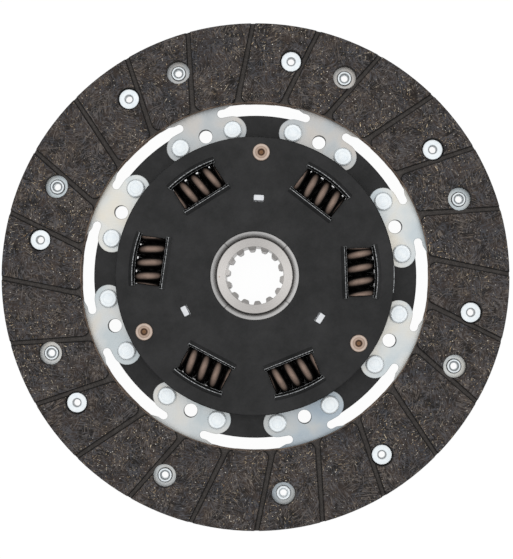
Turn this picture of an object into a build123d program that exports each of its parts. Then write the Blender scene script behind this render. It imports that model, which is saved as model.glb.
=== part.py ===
from build123d import *
import math
import os

# Clutch disc. The axis of the disc is Z, +Z points to the gearbox side, and z = 0 is the rear end of the
# hub. All sizes are in mm and degrees; angles run anticlockwise from +X seen from the gearbox side.

os.makedirs("parts", exist_ok=True)

# Linings, and the radii of the sprung middle that follow from their inner edge
lining_outer_r = 114.0
lining_inner_r = 78.4
lining_rivet_share = 0.556
lining_rivet_circle_r = lining_inner_r + lining_rivet_share * (lining_outer_r - lining_inner_r)
petal_outer_r = lining_outer_r - 2.0
petal_inner_r = lining_inner_r - 1.4
drive_r = lining_inner_r - 5.5
foot_circle_r = drive_r - 5.9
flange_r = foot_circle_r - 8.5
cover_r = flange_r + 3.7
pin_circle_r = flange_r - 3.4
spring_circle_r = pin_circle_r - 8.25

# Levels along the axis
hub_length = 22.4
drive_back = 9.9
drive_thickness = 2.2
plate_gap = 8.0
cover_thickness = 2.0
drive_front = drive_back + drive_thickness
cover_back = drive_front + plate_gap
cover_front = cover_back + cover_thickness
flange_thickness = 6.0
flange_mid = (drive_front + cover_back) / 2
flange_front = flange_mid + flange_thickness / 2
flange_back = flange_mid - flange_thickness / 2
segment_thickness = 0.7
segment_wave = 0.7
lining_thickness = 3.3
front_lining_back = drive_front + segment_thickness + segment_wave

# Working clearances
running_fit = 0.05
pressed_fit = 0.05
rivet_fit = 0.05
free_gap = 0.3

# Hub
spline_teeth = 14
spline_root_r = 12.95
spline_tip_r = 11.25
spline_phase = 18.5
tooth_root_width = 3.6
tooth_tip_width = 2.0
tooth_corner_radius = 0.8
mouth_r = spline_root_r + 0.15
mouth_depth = 1.3
tube_r = 16.9
tube_edge = 0.2
boss_r = 19.0
boss_edge = 1.0
web_recess = 1.0
hub_web_r = spring_circle_r - 10.25
friction_back = 17.6

# Damper springs and their windows
spring_outer_r = 8.6
spring_wire = 4.4
spring_pitch = 6.05
spring_length = 21.0
window_length = spring_length + 2 * free_gap
window_inner_r = spring_circle_r - 5.55
window_outer_r = spring_circle_r + 6.55
rear_window_outer_r = window_outer_r + 0.9
window_corner_radius = 0.5
hub_window_clearance = 0.4
hub_window_corner_radius = 1.0
spring_clearance = 0.3
inner_lip_width = 1.1
outer_lip_width = 1.3
lip_height = 1.35
lip_edge_height = 1.0
lip_slope_width = 1.6
lip_root = 0.6
lip_run_out = 0.8

# Place of a coil crest along each spring, from the middle of its window
spring_crests = {1.93: 1.8, 51.93: -1.25, 121.93: -0.77, 171.93: 0.73, 241.93: -0.73, 291.93: -0.97}

# Stop pins
pin_count = 3
pin_angle = 86.93
pin_body_r = 4.5
pin_neck_r = 2.8
pin_head_r = 3.85
pin_head_height = 0.9
pin_head_edge = 0.35
pin_dimple_r = 1.5
pin_dimple_depth = 0.5
twist_range = 5.5
notch_floor_r = pin_circle_r - 5.2
notch_corner_radius = 2.0
notch_half_angle = twist_range + math.degrees(math.asin((pin_body_r + free_gap) / pin_circle_r))

# Rings round the hub
washer_inner_r = 24.5
washer_outer_r = hub_web_r - 0.4
friction_thickness = 0.7
tabbed_thickness = 1.0
tab_circle_r = hub_web_r - 1.8
tab_width = 4.6
tab_thickness = 2.6
tab_top = cover_front + 0.4
tab_play = 0.12
tab_inner_play = 0.5
tab_edge = 0.25
cone_spring_thickness = 0.45
cone_spring_inner_r = 25.5
cone_spring_outer_r = tab_circle_r - tab_thickness / 2 - 0.6
front_ring_r = tube_r + 3.05
front_ring_top = 22.0
front_ring_bottom = 17.7
front_ring_rounding = 2.4
front_ring_flange_r = front_ring_r + 3.9
front_ring_flange = 1.2
rear_ring_r = boss_r + 2.6
rear_ring_bottom = 9.3
rear_ring_flange = 1.7
ring_edge = 0.3

# Plates
cover_bore_r = front_ring_r + pressed_fit
cover_edge_radius = 0.5
drive_bore_r = rear_ring_r + pressed_fit
drive_edge_radius = 0.4

# Cushion segments
foot_count = 8
foot_angle = 19.43
foot_width = 12.6
foot_rivet_angle = 10.75
foot_hole_r = 3.0
plate_hole_r = foot_hole_r + 0.1
neck_slot_height = petal_inner_r - foot_circle_r - foot_width / 2
neck_slot_tip = 6.3
neck_slot_reach = 25.0
petal_corner_angle = 9.0
petal_relief = 1.8
petal_relief_angle = 12.5
petal_shoulder = 9.0
petal_start_angle = 19.5
petal_end_angle = 23.5
wave_low_start = -27.0
wave_low_end = 12.5
wave_rise_before = 4.0
wave_rise_after = 5.5
wave_bend_radius = 4.0
strip_half = 50.0

# Lining pads
groove_count = 24
groove_offset = 23.3
groove_phase = 3.6
groove_rim_width = 1.9
groove_inner_width = 2.6
groove_depth = 1.0
pad_corner_radius = 3.0
clearance_hole_r = 5.2
counterbore_r = 5.0
web_thickness = 1.0

# Rivets
shank_r = 2.6
tube_hole_r = 1.5
tube_mouth = 0.5
lining_head_r = 4.55
lining_head_height = 0.7
lining_head_edge = 0.3
rolled_head_r = 3.4
rolled_head_height = 0.85
rolled_head_edge = 0.6
rolled_head_mouth = 0.7
foot_shank_r = 2.5
foot_head_r = 4.2
foot_head_height = 1.4
foot_head_edge = 0.9
foot_rear_head_r = 4.0
foot_rear_head_height = 0.9
foot_rear_head_edge = 0.5

# Lining rivets: those with their closing head to the front hold the rear lining, the others the front one.
# The eighth of each ring stands apart from the pattern, as it does on the disc.
closed_front_angle = 20.67
headed_front_angle = 35.42
odd_rivet_angle = 277.5
rear_held_angles = [closed_front_angle + 45 * k for k in (0, 1, 2, 3, 4, 5, 7)] + [odd_rivet_angle]
front_held_angles = [headed_front_angle + 45 * k for k in (0, 1, 2, 3, 4, 6, 7)]
turned_over_angle = closed_front_angle + headed_front_angle

window_angles = sorted(spring_crests)


def polar(radius, angle, z=0.0):
    """Point at a radius and angle round the axis of the disc."""
    return (radius * math.cos(math.radians(angle)), radius * math.sin(math.radians(angle)), z)


def upright_plane(angle):
    """Plane through the axis of the disc: its x points outwards and its y points up."""
    return Plane(origin=(0, 0, 0), x_dir=polar(1, angle), z_dir=polar(1, angle - 90))


def spring_plane(angle):
    """Plane across a spring at mid length: its x points up and its y points outwards."""
    return Plane(origin=polar(spring_circle_r, angle, flange_mid), x_dir=(0, 0, 1), z_dir=polar(1, angle + 90))


def lip_profile(edge_r, width, side, face_z, up):
    """Cross-section of a raised lip beside a window edge; side is +1 for outwards, up is +1 for the front."""
    ridge = edge_r + side * width
    foot = ridge + side * lip_slope_width
    root = face_z - up * lip_root
    return [
        (edge_r, root),
        (edge_r, face_z + up * lip_edge_height),
        (ridge, face_z + up * lip_height),
        (foot, face_z),
        (foot, root),
    ]


def spring_room_section(up):
    """Cross-section of the room cut for a spring under the lips: two slopes that stay clear of its coils."""
    room = spring_outer_r + spring_clearance
    slope = math.radians(39)
    low, high = 3.0, 7.2
    low_half = (room - low * math.sin(slope)) / math.cos(slope)
    high_half = (room - high * math.sin(slope)) / math.cos(slope)
    return [(up * low, -low_half), (up * low, low_half), (up * high, high_half), (up * high, -high_half)]


def with_lips_and_windows(blank, back, face_z, up, outer_r):
    """Raise the six pairs of lips on a plate, then cut the windows and the room for the springs."""
    lip_half = window_length / 2 + lip_run_out
    half_arc = math.degrees(math.asin(lip_half / outer_r))
    with BuildPart(mode=Mode.PRIVATE) as plate:
        add(blank)
        for angle in window_angles:
            with BuildSketch(upright_plane(angle)):
                with BuildLine():
                    Polyline(lip_profile(window_inner_r, inner_lip_width, -1, face_z, up), close=True)
                make_face()
            extrude(amount=lip_half, both=True)
            with BuildSketch(upright_plane(angle - half_arc)):
                with BuildLine():
                    Polyline(lip_profile(outer_r, outer_lip_width, 1, face_z, up), close=True)
                make_face()
            revolve(axis=Axis.Z, revolution_arc=2 * half_arc)
        for angle in window_angles:
            with BuildSketch(Plane.XY.offset(back - 5)) as window:
                with PolarLocations(window_inner_r, 1, start_angle=angle):
                    Rectangle(spring_circle_r, window_length, align=(Align.MIN, Align.CENTER))
                Circle(outer_r, mode=Mode.INTERSECT)
                fillet(window.vertices(), window_corner_radius)
            extrude(amount=12, mode=Mode.SUBTRACT)
            with BuildSketch(spring_plane(angle)):
                Polygon(*spring_room_section(up), align=None)
            extrude(amount=window_length / 2 - 0.2, both=True, mode=Mode.SUBTRACT)
    return plate.part


# Hub: one forging, turned, with its windows, notches and spline cut through
with BuildPart() as hub:
    with BuildSketch(Plane.XZ):
        with BuildLine():
            Polyline(
                (0, 0),
                (boss_r - boss_edge, 0),
                (boss_r, boss_edge),
                (boss_r, flange_back + web_recess),
                (hub_web_r, flange_back + web_recess),
                (hub_web_r, flange_back),
                (flange_r, flange_back),
                (flange_r, flange_front),
                (hub_web_r, flange_front),
                (hub_web_r, friction_back - free_gap),
                (tube_r, friction_back - free_gap),
                (tube_r, hub_length - tube_edge),
                (tube_r - tube_edge, hub_length),
                (0, hub_length),
                close=True,
            )
        make_face()
    revolve(axis=Axis.Z)
    with BuildSketch(Plane.XY.offset(flange_back)) as hub_windows:
        for window_angle in window_angles:
            with PolarLocations(spring_circle_r, 1, start_angle=window_angle):
                Rectangle(2 * (spring_outer_r + hub_window_clearance), window_length)
        fillet(hub_windows.vertices(), hub_window_corner_radius)
    extrude(amount=flange_thickness, mode=Mode.SUBTRACT)
    with BuildSketch(Plane.XY.offset(flange_back)) as hub_notches:
        with PolarLocations(0, pin_count, start_angle=pin_angle):
            Polygon(
                (0, 0),
                (cover_r, -cover_r * math.tan(math.radians(notch_half_angle))),
                (cover_r, cover_r * math.tan(math.radians(notch_half_angle))),
                align=None,
            )
        Circle(notch_floor_r, mode=Mode.SUBTRACT)
        floor_corners = hub_notches.vertices().filter_by(lambda v: math.hypot(v.X, v.Y) < notch_floor_r + 0.1)
        fillet(floor_corners, notch_corner_radius)
    extrude(amount=flange_thickness, mode=Mode.SUBTRACT)
    with BuildSketch(Plane.XY) as spline_bore:
        Circle(spline_root_r)
        with PolarLocations(spline_root_r, spline_teeth, start_angle=spline_phase):
            Polygon(
                (0.6, -tooth_root_width / 2 - 0.3),
                (0.6, tooth_root_width / 2 + 0.3),
                (spline_tip_r - spline_root_r, tooth_tip_width / 2),
                (spline_tip_r - spline_root_r, -tooth_tip_width / 2),
                align=None,
                mode=Mode.SUBTRACT,
            )
        tooth_corners = spline_bore.vertices().filter_by(lambda v: math.hypot(v.X, v.Y) < spline_tip_r + 0.3)
        fillet(tooth_corners, tooth_corner_radius)
    extrude(amount=hub_length, mode=Mode.SUBTRACT)
    # Countersunk mouths of the spline, front and rear
    with BuildSketch(Plane.XZ):
        with BuildLine():
            Polyline((0, hub_length), (mouth_r, hub_length), (spline_tip_r - 0.4, hub_length - mouth_depth),
                     (0, hub_length - mouth_depth), close=True)
        make_face()
        with BuildLine():
            Polyline((0, 0), (mouth_r, 0), (spline_tip_r - 0.4, mouth_depth), (0, mouth_depth), close=True)
        make_face()
    revolve(axis=Axis.Z, mode=Mode.SUBTRACT)
hub.part.label = "hub"
export_step(hub.part, "parts/hub.step")

# Drive plate: the larger plate behind the flange, lips to the rear
with BuildPart() as drive_blank:
    with BuildSketch(Plane.XY.offset(drive_back)):
        Circle(drive_r)
        Circle(drive_bore_r, mode=Mode.SUBTRACT)
        with PolarLocations(foot_circle_r, foot_count, start_angle=foot_angle):
            Circle(plate_hole_r, mode=Mode.SUBTRACT)
        for side in (-1, 1):
            with PolarLocations(foot_circle_r, foot_count, start_angle=foot_angle + side * foot_rivet_angle):
                Circle(foot_shank_r + rivet_fit, mode=Mode.SUBTRACT)
        with PolarLocations(pin_circle_r, pin_count, start_angle=pin_angle):
            Circle(pin_neck_r + rivet_fit, mode=Mode.SUBTRACT)
    extrude(amount=drive_thickness)
    rim = drive_blank.edges().filter_by(GeomType.CIRCLE).filter_by(lambda e: abs(e.radius - drive_r) < 0.01)
    fillet(rim, drive_edge_radius)
with BuildPart() as drive_plate:
    add(with_lips_and_windows(drive_blank.part, drive_back, drive_back, -1, rear_window_outer_r))
drive_plate.part.label = "drive_plate"
export_step(drive_plate.part, "parts/drive_plate.step")

# Cover plate: the smaller plate in front of the flange, lips to the front, three slots for the ring tabs
with BuildPart() as cover_blank:
    with BuildSketch(Plane.XY.offset(cover_back)):
        Circle(cover_r)
        Circle(cover_bore_r, mode=Mode.SUBTRACT)
        with PolarLocations(pin_circle_r, pin_count, start_angle=pin_angle):
            Circle(pin_neck_r + rivet_fit, mode=Mode.SUBTRACT)
        with PolarLocations(tab_circle_r + (tab_play - tab_inner_play) / 2, pin_count, start_angle=pin_angle):
            slot_thickness = tab_thickness + tab_play + tab_inner_play
            RectangleRounded(slot_thickness, tab_width + 2 * tab_play, 2 * tab_edge, mode=Mode.SUBTRACT)
    extrude(amount=cover_thickness)
    rim = cover_blank.edges().filter_by(GeomType.CIRCLE).filter_by(lambda e: abs(e.radius - cover_r) < 0.01)
    fillet(rim, cover_edge_radius)
with BuildPart() as cover_plate:
    add(with_lips_and_windows(cover_blank.part, cover_back, cover_front, 1, window_outer_r))
cover_plate.part.label = "cover_plate"
export_step(cover_plate.part, "parts/cover_plate.step")

# Damper springs: round wire, right-handed, both ends ground flat
spring_coil_r = spring_outer_r - spring_wire / 2
spring_run_out = spring_length / 2 + spring_wire / 2 + 0.2
for number, (window_angle, crest) in enumerate(sorted(spring_crests.items()), start=1):
    start = crest - spring_pitch * math.ceil((crest + spring_run_out) / spring_pitch)
    helix = Edge.make_helix(spring_pitch, spring_run_out - start, spring_coil_r, center=(0, 0, start))
    wire_path = spring_plane(window_angle).from_local_coords(helix)
    with BuildPart() as damper_spring:
        with BuildSketch(Plane(origin=wire_path @ 0, z_dir=wire_path % 0)):
            Circle(spring_wire / 2)
        sweep(path=wire_path, is_frenet=True)
        with BuildSketch(spring_plane(window_angle)):
            Circle(spring_outer_r + 1)
        extrude(amount=spring_length / 2, both=True, mode=Mode.INTERSECT)
    damper_spring.part.label = f"damper_spring_{number}"
    export_step(damper_spring.part, f"parts/damper_spring_{number}.step")

# Stop pins: shouldered between the plates, riveted over outside them
with BuildPart() as stop_pins:
    with BuildSketch(Plane.XY.offset(drive_front)):
        with PolarLocations(pin_circle_r, pin_count, start_angle=pin_angle):
            Circle(pin_body_r)
    extrude(amount=plate_gap)
    for head_z in (drive_back - pin_head_height, cover_front):
        with BuildSketch(Plane.XY.offset(head_z)):
            with PolarLocations(pin_circle_r, pin_count, start_angle=pin_angle):
                Circle(pin_head_r)
        extrude(amount=pin_head_height)
    fillet(stop_pins.edges().group_by(Axis.Z)[-1], pin_head_edge)
    fillet(stop_pins.edges().group_by(Axis.Z)[0], pin_head_edge)
    with BuildSketch(Plane.XY.offset(drive_back)):
        with PolarLocations(pin_circle_r, pin_count, start_angle=pin_angle):
            Circle(pin_neck_r)
    extrude(amount=cover_front - drive_back)
    with BuildSketch(Plane.XY.offset(cover_front + pin_head_height)):
        with PolarLocations(pin_circle_r, pin_count, start_angle=pin_angle):
            Circle(pin_dimple_r)
    extrude(amount=-pin_dimple_depth, taper=35, mode=Mode.SUBTRACT)
stop_pins.part.label = "stop_pins"
export_step(stop_pins.part, "parts/stop_pins.step")

# Friction washer on the hub web
with BuildPart() as friction_washer:
    with BuildSketch(Plane.XY.offset(friction_back)):
        Circle(washer_outer_r)
        Circle(washer_inner_r, mode=Mode.SUBTRACT)
    extrude(amount=friction_thickness)
friction_washer.part.label = "friction_washer"
export_step(friction_washer.part, "parts/friction_washer.step")

# Tabbed ring: keyed to the cover plate by three tabs bent forward
tabbed_back = friction_back + friction_thickness
with BuildPart() as tabbed_ring:
    with BuildSketch(Plane.XY.offset(tabbed_back)):
        Circle(washer_outer_r)
        Circle(washer_inner_r, mode=Mode.SUBTRACT)
    extrude(amount=tabbed_thickness)
    with BuildSketch(Plane.XY.offset(tabbed_back)):
        with PolarLocations(tab_circle_r, pin_count, start_angle=pin_angle):
            RectangleRounded(tab_thickness, tab_width, 2 * tab_edge)
    extrude(amount=tab_top - tabbed_back)
    fillet(tabbed_ring.edges().group_by(Axis.Z)[-1], tab_edge)
tabbed_ring.part.label = "tabbed_ring"
export_step(tabbed_ring.part, "parts/tabbed_ring.step")

# Cone spring: presses the tabbed ring on the friction washer, its narrow end under the cover plate
with BuildPart() as cone_spring:
    with BuildSketch(Plane.XZ):
        with BuildLine():
            Polyline(
                (cone_spring_outer_r, tabbed_back + tabbed_thickness),
                (cone_spring_outer_r, tabbed_back + tabbed_thickness + cone_spring_thickness),
                (cone_spring_inner_r, cover_back),
                (cone_spring_inner_r, cover_back - cone_spring_thickness),
                close=True,
            )
        make_face()
    revolve(axis=Axis.Z)
cone_spring.part.label = "cone_spring"
export_step(cone_spring.part, "parts/cone_spring.step")

# Front guide ring: centres the cover plate on the hub tube
with BuildPart() as front_guide_ring:
    with BuildSketch(Plane.XZ) as front_ring_section:
        with BuildLine():
            Polyline(
                (tube_r + running_fit, front_ring_bottom),
                (front_ring_r, front_ring_bottom),
                (front_ring_r, cover_back - front_ring_flange),
                (front_ring_flange_r, cover_back - front_ring_flange),
                (front_ring_flange_r, cover_back),
                (front_ring_r, cover_back),
                (front_ring_r, front_ring_top - ring_edge),
                (front_ring_r - ring_edge, front_ring_top),
                (tube_r + running_fit, front_ring_top),
                close=True,
            )
        make_face()
        inner_top_corner = front_ring_section.vertices().sort_by(lambda v: v.Y - v.X)[-1]
        fillet(inner_top_corner, front_ring_rounding)
    revolve(axis=Axis.Z)
front_guide_ring.part.label = "front_guide_ring"
export_step(front_guide_ring.part, "parts/front_guide_ring.step")

# Rear guide ring: pressed in the drive plate, runs on the hub boss and carries the hub web
with BuildPart() as rear_guide_ring:
    with BuildSketch(Plane.XZ):
        with BuildLine():
            Polyline(
                (boss_r + running_fit, rear_ring_bottom),
                (rear_ring_r - ring_edge, rear_ring_bottom),
                (rear_ring_r, rear_ring_bottom + ring_edge),
                (rear_ring_r, drive_front),
                (washer_outer_r, drive_front),
                (washer_outer_r, drive_front + rear_ring_flange),
                (boss_r + running_fit, drive_front + rear_ring_flange),
                close=True,
            )
        make_face()
    revolve(axis=Axis.Z)
rear_guide_ring.part.label = "rear_guide_ring"
export_step(rear_guide_ring.part, "parts/rear_guide_ring.step")

# Cushion segments: flat foot on the drive plate, wavy petal between the linings.
# The low stretch of the wave carries the rear lining rivets, the high stretches touch the front lining.
segment_low = drive_front
segment_high = drive_front + segment_wave
wave_line = [
    (-strip_half, segment_high),
    (wave_low_start - wave_rise_before, segment_high),
    (wave_low_start, segment_low),
    (wave_low_end, segment_low),
    (wave_low_end + wave_rise_after, segment_high),
    (strip_half, segment_high),
]
for number in range(foot_count):
    angle = foot_angle + 45 * number
    local = Plane(origin=(0, 0, 0), x_dir=polar(1, angle), z_dir=(0, 0, 1))
    with BuildPart() as cushion_segment:
        # Petal, cut from the wavy strip
        strip_end = Plane(origin=polar(foot_circle_r, angle), x_dir=polar(1, angle + 90), z_dir=polar(1, angle))
        with BuildSketch(strip_end) as wavy_strip:
            with BuildLine():
                Polyline(wave_line + [(t, z + segment_thickness) for t, z in reversed(wave_line)], close=True)
            make_face()
            bends = wavy_strip.vertices().filter_by(lambda v: abs(v.X) < strip_half - 1)
            fillet(bends, wave_bend_radius)
        extrude(amount=strip_half)
        with BuildSketch(local.offset(segment_low)):
            Polygon(
                polar(foot_circle_r, -petal_corner_angle)[:2],
                polar(petal_inner_r, -petal_corner_angle)[:2],
                polar(petal_inner_r + petal_relief, -petal_relief_angle)[:2],
                polar(petal_inner_r + petal_shoulder, -petal_start_angle)[:2],
                polar(petal_outer_r + 20, -petal_start_angle)[:2],
                polar(petal_outer_r + 40, 0)[:2],
                polar(petal_outer_r + 20, petal_end_angle)[:2],
                polar(petal_inner_r + petal_shoulder, petal_end_angle)[:2],
                polar(petal_inner_r + petal_relief, petal_relief_angle)[:2],
                polar(petal_inner_r, petal_corner_angle)[:2],
                polar(foot_circle_r, petal_corner_angle)[:2],
                align=None,
            )
            Circle(petal_outer_r, mode=Mode.INTERSECT)
            Circle(petal_inner_r, mode=Mode.SUBTRACT)
        extrude(amount=segment_thickness + segment_wave, mode=Mode.INTERSECT)
        # Foot and neck, with the two round-ended slots that leave the neck springy
        with BuildSketch(local.offset(segment_low)):
            Polygon(
                polar(foot_circle_r, -9)[:2],
                polar(petal_inner_r + 1, -8.2)[:2],
                polar(petal_inner_r + 1, 8.2)[:2],
                polar(foot_circle_r, 9)[:2],
                align=None,
            )
            for side in (-1, 1):
                slot_r = petal_inner_r - neck_slot_height / 2
                slot_start = side * (neck_slot_tip + math.degrees(neck_slot_height / 2 / slot_r))
                slot_end = side * neck_slot_reach
                SlotArc(
                    Edge.make_circle(
                        slot_r, start_angle=min(slot_start, slot_end), end_angle=max(slot_start, slot_end)
                    ),
                    neck_slot_height,
                    mode=Mode.SUBTRACT,
                )
            SlotArc(
                Edge.make_circle(foot_circle_r, start_angle=-foot_rivet_angle, end_angle=foot_rivet_angle),
                foot_width,
            )
        extrude(amount=segment_thickness)
        # Holes
        lining_holes = [closed_front_angle - foot_angle, headed_front_angle - foot_angle]
        if number == 5:
            lining_holes = [closed_front_angle - foot_angle]
        if number == 6:
            lining_holes = [odd_rivet_angle - angle, headed_front_angle - foot_angle]
        with BuildSketch(local.offset(segment_low)):
            with Locations((foot_circle_r, 0)):
                Circle(foot_hole_r)
            for hole_angle in (-foot_rivet_angle, foot_rivet_angle):
                with Locations(polar(foot_circle_r, hole_angle)[:2]):
                    Circle(foot_shank_r + rivet_fit)
            for hole_angle in lining_holes:
                with Locations(polar(lining_rivet_circle_r, hole_angle)[:2]):
                    Circle(shank_r + rivet_fit)
        extrude(amount=segment_thickness + segment_wave, mode=Mode.SUBTRACT)
    cushion_segment.part.label = f"cushion_segment_{number + 1}"
    export_step(cushion_segment.part, f"parts/cushion_segment_{number + 1}.step")


def lining_ring(back_plane, sunk_angles, open_angles):
    """Lining on its back plane: ring, grooved pads, sunk seats for its own rivets, openings for the others."""
    with BuildPart(mode=Mode.PRIVATE) as lining:
        with BuildSketch(back_plane):
            Circle(lining_outer_r)
            Circle(lining_inner_r, mode=Mode.SUBTRACT)
        extrude(amount=lining_thickness - groove_depth)
        with BuildSketch(back_plane.offset(lining_thickness - groove_depth)) as pads:
            Circle(lining_outer_r)
            Circle(lining_inner_r, mode=Mode.SUBTRACT)
            with PolarLocations(0, groove_count, start_angle=groove_phase):
                Polygon(
                    (lining_inner_r - 10, groove_offset - groove_inner_width / 2),
                    (lining_outer_r + 5, groove_offset - groove_rim_width / 2),
                    (lining_outer_r + 5, groove_offset + groove_rim_width / 2),
                    (lining_inner_r - 10, groove_offset + groove_inner_width / 2),
                    align=None,
                    mode=Mode.SUBTRACT,
                )
            inner_corners = pads.vertices().filter_by(lambda v: math.hypot(v.X, v.Y) < lining_inner_r + 1)
            fillet(inner_corners, pad_corner_radius)
        extrude(amount=groove_depth)
        with BuildSketch(back_plane.offset(web_thickness)):
            for hole_angle in sunk_angles:
                with Locations(polar(lining_rivet_circle_r, hole_angle)[:2]):
                    Circle(counterbore_r)
        extrude(amount=lining_thickness, mode=Mode.SUBTRACT)
        with BuildSketch(back_plane):
            for hole_angle in sunk_angles:
                with Locations(polar(lining_rivet_circle_r, hole_angle)[:2]):
                    Circle(shank_r + rivet_fit)
            for hole_angle in open_angles:
                with Locations(polar(lining_rivet_circle_r, hole_angle)[:2]):
                    Circle(clearance_hole_r)
        extrude(amount=lining_thickness, mode=Mode.SUBTRACT)
    return lining.part


# Front lining
with BuildPart() as front_lining:
    add(lining_ring(Plane.XY.offset(front_lining_back), front_held_angles, rear_held_angles))
front_lining.part.label = "front_lining"
export_step(front_lining.part, "parts/front_lining.step")

# Rear lining: the same facing turned over
rear_back_plane = Plane(origin=(0, 0, drive_front), x_dir=polar(1, turned_over_angle), z_dir=(0, 0, -1))
with BuildPart() as rear_lining:
    add(lining_ring(
        rear_back_plane,
        [turned_over_angle - a for a in rear_held_angles],
        [turned_over_angle - a for a in front_held_angles],
    ))
rear_lining.part.label = "rear_lining"
export_step(rear_lining.part, "parts/rear_lining.step")


def tubular_rivets(seat_plane, grip, angles):
    """Tubular rivets: flat head on the seat plane, shank down through the grip, rolled closing head."""
    spots = [Location(polar(lining_rivet_circle_r, a)) for a in angles]
    with BuildPart(mode=Mode.PRIVATE) as rivets:
        with BuildSketch(seat_plane):
            with Locations(*spots):
                Circle(lining_head_r)
        extrude(amount=lining_head_height)
        with BuildSketch(seat_plane):
            with Locations(*spots):
                Circle(shank_r)
        extrude(amount=-grip)
        with BuildSketch(seat_plane.offset(-grip)):
            with Locations(*spots):
                Circle(rolled_head_r)
        extrude(amount=-rolled_head_height)
        ends = rivets.edges().group_by(Axis(seat_plane.origin, seat_plane.z_dir))
        fillet(ends[-1], lining_head_edge)
        fillet(ends[0], rolled_head_edge)
        with BuildSketch(seat_plane.offset(lining_head_height)):
            with Locations(*spots):
                Circle(tube_hole_r + tube_mouth)
        extrude(amount=-tube_mouth, taper=45, mode=Mode.SUBTRACT)
        with BuildSketch(seat_plane.offset(-grip - rolled_head_height)):
            with Locations(*spots):
                Circle(tube_hole_r + rolled_head_mouth)
        extrude(amount=rolled_head_mouth, taper=45, mode=Mode.SUBTRACT)
        with BuildSketch(seat_plane.offset(lining_head_height)):
            with Locations(*spots):
                Circle(tube_hole_r)
        extrude(amount=-grip - rolled_head_height - lining_head_height, mode=Mode.SUBTRACT)
    return rivets.part


# Rivets of the front lining: head sunk in the front lining, closed against the high part of the segments
front_seat = Plane.XY.offset(front_lining_back + web_thickness)
with BuildPart() as front_lining_rivets:
    add(tubular_rivets(front_seat, web_thickness + segment_thickness, front_held_angles))
front_lining_rivets.part.label = "front_lining_rivets"
export_step(front_lining_rivets.part, "parts/front_lining_rivets.step")

# Rivets of the rear lining: head sunk in the rear lining, closed against the low part of the segments
rear_seat = rear_back_plane.offset(web_thickness)
with BuildPart() as rear_lining_rivets:
    add(tubular_rivets(rear_seat, web_thickness + segment_thickness,
                       [turned_over_angle - a for a in rear_held_angles]))
rear_lining_rivets.part.label = "rear_lining_rivets"
export_step(rear_lining_rivets.part, "parts/rear_lining_rivets.step")

# Foot rivets: pan head in front, closed behind the drive plate
with BuildPart() as foot_rivets:
    for side in (-1, 1):
        with BuildSketch(Plane.XY.offset(drive_front + segment_thickness)):
            with PolarLocations(foot_circle_r, foot_count, start_angle=foot_angle + side * foot_rivet_angle):
                Circle(foot_head_r)
        extrude(amount=foot_head_height)
        with BuildSketch(Plane.XY.offset(drive_back - foot_rear_head_height)):
            with PolarLocations(foot_circle_r, foot_count, start_angle=foot_angle + side * foot_rivet_angle):
                Circle(foot_rear_head_r)
        extrude(amount=foot_rear_head_height)
    fillet(foot_rivets.edges().group_by(Axis.Z)[-1], foot_head_edge)
    fillet(foot_rivets.edges().group_by(Axis.Z)[0], foot_rear_head_edge)
    for side in (-1, 1):
        with BuildSketch(Plane.XY.offset(drive_back)):
            with PolarLocations(foot_circle_r, foot_count, start_angle=foot_angle + side * foot_rivet_angle):
                Circle(foot_shank_r)
        extrude(amount=drive_thickness + segment_thickness)
foot_rivets.part.label = "foot_rivets"
export_step(foot_rivets.part, "parts/foot_rivets.step")
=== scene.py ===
import math
import bpy
from mathutils import Matrix, Vector


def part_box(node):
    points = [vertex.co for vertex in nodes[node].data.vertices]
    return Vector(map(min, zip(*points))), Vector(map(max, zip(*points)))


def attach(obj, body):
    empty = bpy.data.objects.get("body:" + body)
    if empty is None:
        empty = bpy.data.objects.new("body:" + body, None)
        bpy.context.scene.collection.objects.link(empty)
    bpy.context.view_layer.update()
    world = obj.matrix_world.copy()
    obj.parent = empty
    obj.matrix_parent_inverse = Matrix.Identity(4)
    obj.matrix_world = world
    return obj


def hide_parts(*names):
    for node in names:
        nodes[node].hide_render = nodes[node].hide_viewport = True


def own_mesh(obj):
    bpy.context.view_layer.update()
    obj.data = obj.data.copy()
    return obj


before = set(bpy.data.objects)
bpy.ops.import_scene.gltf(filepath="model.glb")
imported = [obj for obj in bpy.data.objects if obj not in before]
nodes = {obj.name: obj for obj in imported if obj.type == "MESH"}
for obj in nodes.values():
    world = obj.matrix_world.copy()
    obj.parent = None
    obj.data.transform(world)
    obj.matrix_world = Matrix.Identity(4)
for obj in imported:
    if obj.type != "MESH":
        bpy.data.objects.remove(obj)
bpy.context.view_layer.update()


# Friction linings, front and rear.
# Each is a ring of wound yarn (glass and aramid with brass wire) pressed in phenolic resin with rubber and
# carbon black, then ground flat, grooved and drilled. To the eye: a matt brown-black ground with fine grey
# fibres swirling through it and many short glints of cut brass and copper wire.
def linear(hex_colour):
    """An sRGB hex colour as the linear RGBA that a shader socket takes."""
    parts = [int(hex_colour[i:i + 2], 16) / 255 for i in (1, 3, 5)]
    return tuple(c / 12.92 if c <= 0.04045 else ((c + 0.055) / 1.055) ** 2.4 for c in parts) + (1.0,)


def node(material, kind, values=None, stops=(), **settings):
    """Adds one shader node; values go to its inputs, where an output socket makes a link, stops to a ramp."""
    made = material.node_tree.nodes.new("ShaderNode" + kind)
    for name, setting in settings.items():
        setattr(made, name, setting)
    for name, value in (values or {}).items():
        if isinstance(value, bpy.types.NodeSocket):
            material.node_tree.links.new(value, made.inputs[name])
        else:
            made.inputs[name].default_value = value
    for position, _ in stops[1:-1]:
        made.color_ramp.elements.new(position)
    for stop_at, (position, tone) in enumerate(stops):
        made.color_ramp.elements[stop_at].position = position
        made.color_ramp.elements[stop_at].color = linear(tone)
    return made


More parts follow.
